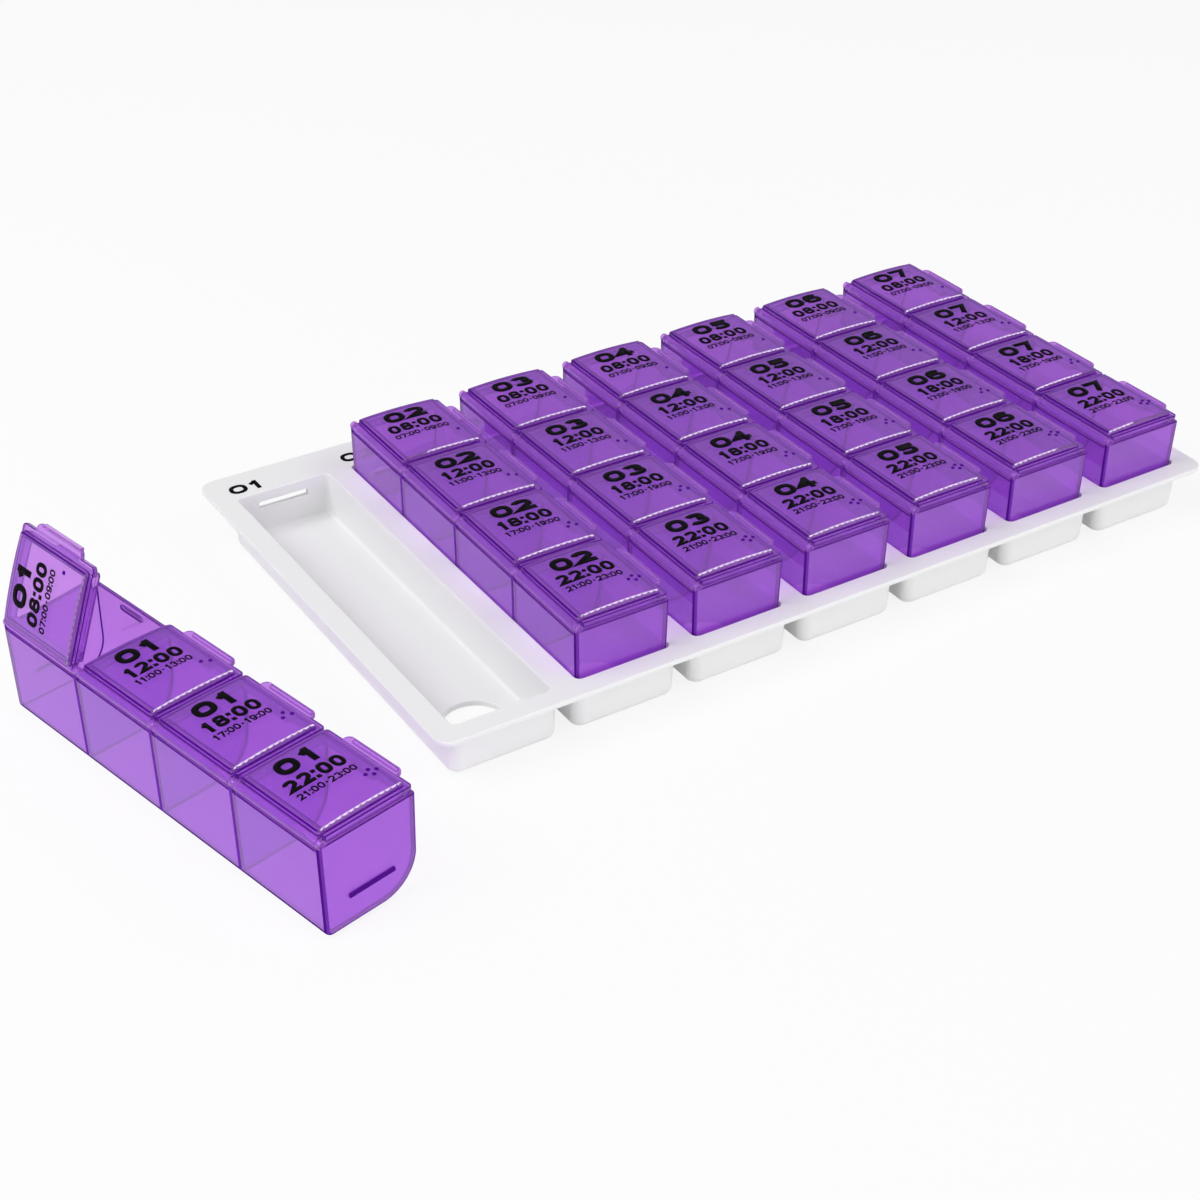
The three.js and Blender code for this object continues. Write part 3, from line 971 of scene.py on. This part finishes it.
# %% Grain in a material
def add_grain(material, scale, detail, smoothest, roughest, height=0):
    nodes, links = material.node_tree.nodes, material.node_tree.links
    place = nodes.new("ShaderNodeTexCoord")
    grain = nodes.new("ShaderNodeGroup")
    grain.node_tree = PLASTIC_GRAIN
    grain.inputs["Scale"].default_value = scale
    grain.inputs["Detail"].default_value = detail
    grain.inputs["Smoothest"].default_value = smoothest
    grain.inputs["Roughest"].default_value = roughest
    grain.inputs["Height"].default_value = height
    links.new(place.outputs["Object"], grain.inputs["Place"])
    shader = nodes["Principled BSDF"]
    links.new(grain.outputs["Roughness"], shader.inputs["Roughness"])
    if height:
        links.new(grain.outputs["Normal"], shader.inputs["Normal"])


print("the grain feeds roughness, and where it has a height the normal too")

# %% [markdown]
# The boxes and lids are clear plastic with the dye in the whole of it, so the colour comes
# from how far the light travels inside: thin walls look light, and thick ones dark. The
# volume takes the colour out on that way. The surface lets most light pass and scatters the
# rest in a tint, which is deep where a ray enters the plastic and pale where it leaves it.
# Backfacing tells the two apart. Glass stops light from lamps, so shadow rays go through a
# tinted transparent shader instead. The Mix node has a set of sockets for each kind of value,
# so the ones for colours are taken by their numbers.

# %% Clear purple plastic
DYE = (0.523, 0.08, 0.765)
DENSITY = 55
LAMP_TINT = (0.995, 0.98, 1)
COAT_IOR = 2.3
COAT_ROUGHNESS = 0.02
MIX_FACTOR, MIX_FIRST, MIX_SECOND, MIX_RESULT = 0, 6, 7, 2


def tint_by_side(material, outer_tint, inner_tint):
    nodes, links = material.node_tree.nodes, material.node_tree.links
    side = nodes.new("ShaderNodeNewGeometry")
    tint = nodes.new("ShaderNodeMix")
    tint.data_type = "RGBA"
    tint.inputs[MIX_FIRST].default_value = (*outer_tint, 1)
    tint.inputs[MIX_SECOND].default_value = (*inner_tint, 1)
    links.new(side.outputs["Backfacing"], tint.inputs[MIX_FACTOR])
    links.new(tint.outputs[MIX_RESULT], nodes["Principled BSDF"].inputs["Base Color"])


def let_light_through(material):
    nodes, links = material.node_tree.nodes, material.node_tree.links
    clear = nodes.new("ShaderNodeBsdfTransparent")
    clear.inputs["Color"].default_value = (*LAMP_TINT, 1)
    path = nodes.new("ShaderNodeLightPath")
    mix = nodes.new("ShaderNodeMixShader")
    links.new(path.outputs["Is Shadow Ray"], mix.inputs["Fac"])
    links.new(nodes["Principled BSDF"].outputs["BSDF"], mix.inputs[1])
    links.new(clear.outputs["BSDF"], mix.inputs[2])
    links.new(mix.outputs["Shader"], nodes["Material Output"].inputs["Surface"])


def clear_plastic(name, outer_tint, inner_tint, clear_share, bending, polish=0):
    material = bpy.data.materials.new(name)
    material.use_nodes = True
    nodes, links = material.node_tree.nodes, material.node_tree.links
    shader = nodes["Principled BSDF"]
    shader.inputs["Transmission Weight"].default_value = clear_share
    shader.inputs["IOR"].default_value = bending
    shader.inputs["Coat Weight"].default_value = polish
    shader.inputs["Coat IOR"].default_value = COAT_IOR
    shader.inputs["Coat Roughness"].default_value = COAT_ROUGHNESS
    tint_by_side(material, outer_tint, inner_tint)
    add_grain(material, scale=90, detail=1, smoothest=0, roughest=0.025)
    let_light_through(material)
    dye = nodes.new("ShaderNodeVolumeAbsorption")
    dye.inputs["Color"].default_value = (*DYE, 1)
    dye.inputs["Density"].default_value = DENSITY
    links.new(dye.outputs["Volume"], nodes["Material Output"].inputs["Volume"])
    return material


OUTER, INNER, CLEAR, PLASTIC_IOR = (0.47, 0.115, 0.82), (0.74, 0.66, 0.78), 0.8, 1.45
box_plastic = clear_plastic("clear_purple_box", OUTER, INNER, CLEAR, PLASTIC_IOR)
lid_plastic = clear_plastic("clear_purple_lid", OUTER, INNER, CLEAR, PLASTIC_IOR)
print("dye density", DENSITY)

# %% [markdown]
# On the real boxes the rounded edges look almost black, the ends of the partitions deep
# purple, and the front chamfer of a lid has a bright line. Such an edge shows what stands far
# to the side, and a plain white studio has nothing dark or very bright there. So the dark of
# the edges and of the partition ends is painted shade: two darker tints that hardly bend the
# light. The bright chamfer gets a polished coat, which mirrors the lamp.

# %% Painted shade for edges and thick places, and the bright chamfer
# Painted shade: darker tints for the rounded edges and for the thick places seen edge-on.
EDGE, EDGE_SHADE_CLEAR = (0.09, 0.008, 0.27), 0.2
PAINTED_DEPTH_SHADE, DEPTH_SHADE_CLEAR = (0.24, 0.045, 0.58), 0.35
SHADE_IOR = 1.01
edge_shade_material = clear_plastic("purple_painted_edge_shade", EDGE, EDGE, EDGE_SHADE_CLEAR, SHADE_IOR)
depth_shade_material = clear_plastic("purple_painted_depth_shade", PAINTED_DEPTH_SHADE, PAINTED_DEPTH_SHADE, DEPTH_SHADE_CLEAR, SHADE_IOR)
bright_edge = clear_plastic("purple_bright_edge", OUTER, INNER, CLEAR, PLASTIC_IOR, polish=1)
print("clear share of edges", EDGE_SHADE_CLEAR, "and of thick places", DEPTH_SHADE_CLEAR)

# %% [markdown]
# The tray is satin white plastic and the ink is matt black. Both are the Principled shader
# with the shared grain, which here has more detail and also lifts the surface a little.


# %% White tray and black ink
def plain_plastic(name, color, smoothest, roughest, grain_scale, grain_height, shine=0.5):
    material = bpy.data.materials.new(name)
    material.use_nodes = True
    shader = material.node_tree.nodes["Principled BSDF"]
    shader.inputs["Base Color"].default_value = (*color, 1)
    shader.inputs["Specular IOR Level"].default_value = shine
    add_grain(material, grain_scale, detail=3, smoothest=smoothest, roughest=roughest,
              height=grain_height)
    return material


tray_plastic = plain_plastic("white_satin", (0.84, 0.84, 0.845), smoothest=0.35, roughest=0.5,
                             grain_scale=2500, grain_height=0.02 * MM)
ink = plain_plastic("black_ink", (0.003, 0.002, 0.004), smoothest=0.6, roughest=0.75,
                    grain_scale=4000, grain_height=0.01 * MM, shine=0.05)
print("tray and ink ready")


# %% Dress the pieces
def dress(piece, *materials):
    while len(piece.data.materials) < len(materials):
        piece.data.materials.append(None)
    for slot, material in enumerate(materials):
        piece.data.materials[slot] = material


# Slot 1 is the painted edge shade; slot 2 is the painted depth shade on a box and the polish on a
# lid.
for piece in boxes.values():
    dress(piece, box_plastic, edge_shade_material, depth_shade_material)
for piece in lids.values():
    dress(piece, lid_plastic, edge_shade_material, bright_edge)
# The dots are rounded all over, so they carry the painted edge shade.
for piece in dots:
    dress(piece, edge_shade_material)
for piece in prints:
    dress(piece, ink)
dress(tray, tray_plastic, tray_plastic, tray_plastic)
print("materials", len(bpy.data.materials))

# %% [markdown]
# ## Floor, light and camera
#
# The photograph shows the organizer on plain white. The floor is white to the camera, in
# reflections and through the plastic, and otherwise an ordinary pale floor that takes the
# shadow. More light would make it white too, but would wash out the plastic. Which rays see
# the background is worked out from the Light Path node, for the floor and for the world.

# %% Floor
FLOOR_SHADE = 0.85
GLOW_SHARE = 0.85
FLOOR_Z = -0.2 * MM


def background_rays(tree):
    path = tree.nodes.new("ShaderNodeLightPath")
    total = path.outputs["Is Camera Ray"]
    for ray in ("Is Glossy Ray", "Is Transmission Ray"):
        either = tree.nodes.new("ShaderNodeMath")
        either.operation = "MAXIMUM"
        tree.links.new(total, either.inputs[0])
        tree.links.new(path.outputs[ray], either.inputs[1])
        total = either.outputs["Value"]
    return total


def make_floor():
    bpy.ops.mesh.primitive_plane_add(size=6, location=(0, 0, FLOOR_Z))
    floor = bpy.context.object
    floor.name = "floor"
    material = bpy.data.materials.new("floor_white")
    material.use_nodes = True
    nodes, links = material.node_tree.nodes, material.node_tree.links
    shader = nodes["Principled BSDF"]
    shader.inputs["Base Color"].default_value = (FLOOR_SHADE, FLOOR_SHADE, FLOOR_SHADE, 1)
    shader.inputs["Roughness"].default_value = 0.9
    shader.inputs["Specular IOR Level"].default_value = 0
    glow = nodes.new("ShaderNodeEmission")
    glow.inputs["Color"].default_value = (1, 1, 1, 1)
    glow.inputs["Strength"].default_value = 1
    share = nodes.new("ShaderNodeMath")
    share.operation = "MULTIPLY"
    share.inputs[1].default_value = GLOW_SHARE
    mix = nodes.new("ShaderNodeMixShader")
    links.new(background_rays(material.node_tree), share.inputs[0])
    links.new(share.outputs["Value"], mix.inputs["Fac"])
    links.new(shader.outputs["BSDF"], mix.inputs[1])
    links.new(glow.outputs["Emission"], mix.inputs[2])
    links.new(mix.outputs["Shader"], nodes["Material Output"].inputs["Surface"])
    dress(floor, material)
    return floor


floor = make_floor()
print("floor", round(floor.dimensions.x, 1), "m wide")

# %% [markdown]
# The world is a dim white sky that fills the shadows. To the rays that see the background it
# is full white near the horizon, so that the plastic has white behind and around it.

# %% World
SKY = 0.38
WHITE_UP_TO, SKY_FROM = 0.15, 0.3


def make_world():
    world = bpy.data.worlds.new("studio")
    bpy.context.scene.world = world
    world.use_nodes = True
    nodes, links = world.node_tree.nodes, world.node_tree.links
    sky = nodes["Background"]
    sky.inputs["Color"].default_value = (1, 1, 1, 1)
    direction = nodes.new("ShaderNodeTexCoord")
    height = nodes.new("ShaderNodeSeparateXYZ")
    near_horizon = nodes.new("ShaderNodeMapRange")
    near_horizon.inputs["From Min"].default_value = SKY_FROM
    near_horizon.inputs["From Max"].default_value = WHITE_UP_TO
    paper = nodes.new("ShaderNodeMath")
    paper.operation = "MULTIPLY"
    strength = nodes.new("ShaderNodeMapRange")
    strength.inputs["To Min"].default_value = SKY
    strength.inputs["To Max"].default_value = 1
    links.new(direction.outputs["Generated"], height.inputs["Vector"])
    links.new(height.outputs["Z"], near_horizon.inputs["Value"])
    links.new(near_horizon.outputs["Result"], paper.inputs[0])
    links.new(background_rays(world.node_tree), paper.inputs[1])
    links.new(paper.outputs["Value"], strength.inputs["Value"])
    links.new(strength.outputs["Result"], sky.inputs["Strength"])


make_world()
print("sky strength", SKY)

# %% [markdown]
# Three soft lights stand round the organizer. The one at the front right gives the bright line
# on the front chamfers of the lids, the low one lights the upright fronts, and the one at the
# left lets the empty pocket fall into a soft shade.


# %% Lights
def soft_light(name, place, target, size, brightness):
    bpy.ops.object.light_add(type="AREA", location=place)
    light = bpy.context.object
    light.name = name
    light.data.shape = "RECTANGLE"
    light.data.size, light.data.size_y = size
    light.data.energy = brightness * math.pi * size[0] * size[1]
    aim = Vector(target) - Vector(place)
    light.rotation_euler = aim.to_track_quat("-Z", "Y").to_euler()


soft_light("front_right_light", place=(0.62, -0.60, 0.86), target=(0, 0, 0),
           size=(0.8, 0.44), brightness=3.4)
soft_light("low_front_light", place=(-0.15, -1.3, 0.1), target=(0, 0, 0.02),
           size=(1.4, 0.16), brightness=8)
soft_light("left_light", place=(-0.78, 0.12, 0.95), target=(0, 0, 0),
           size=(0.7, 0.8), brightness=5)
print("lights", len(bpy.data.lights))

# %% [markdown]
# The camera stands where the photograph was taken from. Its place, turn and lens were fitted
# together with the sizes of the organizer, and the small shift centres the frame.

# %% Camera
CAMERA_PLACE = (-0.289806, -0.392262, 0.300682)
CAMERA_TURN = (56.032, -0.6431, -32.6104)

bpy.ops.object.camera_add(location=CAMERA_PLACE)
camera = bpy.context.object
camera.rotation_euler = [math.radians(a) for a in CAMERA_TURN]
camera.data.sensor_width = 36
camera.data.lens = 63.464
camera.data.shift_x = -0.00319
camera.data.shift_y = 0.0056
camera.data.clip_start = 0.01
camera.data.clip_end = 20
bpy.context.scene.camera = camera
bpy.context.scene.view_settings.view_transform = "Standard"
print("camera", round(Vector(CAMERA_PLACE).length, 3), "m from the middle of the tray")

# %% [markdown]
# Light has to get through many clear walls, one behind the other, before it reaches the inside
# of a box, so a ray may pass more surfaces than usual.

# %% Depth of the light
light_paths = bpy.context.scene.cycles
light_paths.max_bounces = 24
light_paths.transmission_bounces = 24
light_paths.transparent_max_bounces = 32
print("transparent surfaces", light_paths.transparent_max_bounces)
